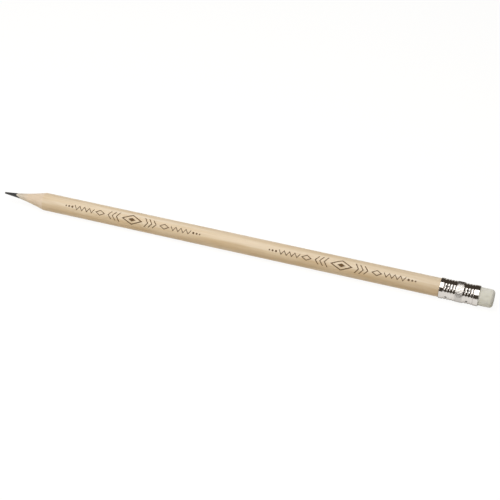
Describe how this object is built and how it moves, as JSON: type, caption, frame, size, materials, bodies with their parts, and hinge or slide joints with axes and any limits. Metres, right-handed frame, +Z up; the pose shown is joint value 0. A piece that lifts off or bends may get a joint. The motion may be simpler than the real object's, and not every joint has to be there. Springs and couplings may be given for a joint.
{
  "type": "pencil with eraser",
  "caption": "Round pencil of bare pale wood with a sharpened graphite point, a ribbed and fluted metal ferrule and a white eraser, for writing and rubbing out.",
  "frame": {"origin": "on the surface the pencil lies on, under the middle of its length", "axes": "+X along the pencil from the point towards the eraser, +Z up, -Y towards the front, where the pencil is seen from"},
  "size_m": [0.19, 0.0074, 0.0074],
  "materials": {
    "casing_wood": "pale light wood, sanded smooth and left bare, fine grain along the barrel",
    "graphite": "fired graphite and clay, sharpened, dark grey with a soft sheen",
    "ferrule_metal": "bright rolled sheet",
    "eraser_rubber": "matt off-white"
  },
  "bodies": {
    "root": {"wood_slat_front": "casing_wood", "wood_slat_back": "casing_wood", "graphite_core": "graphite", "ferrule": "ferrule_metal", "eraser": "eraser_rubber"}
  },
  "joints": []
}
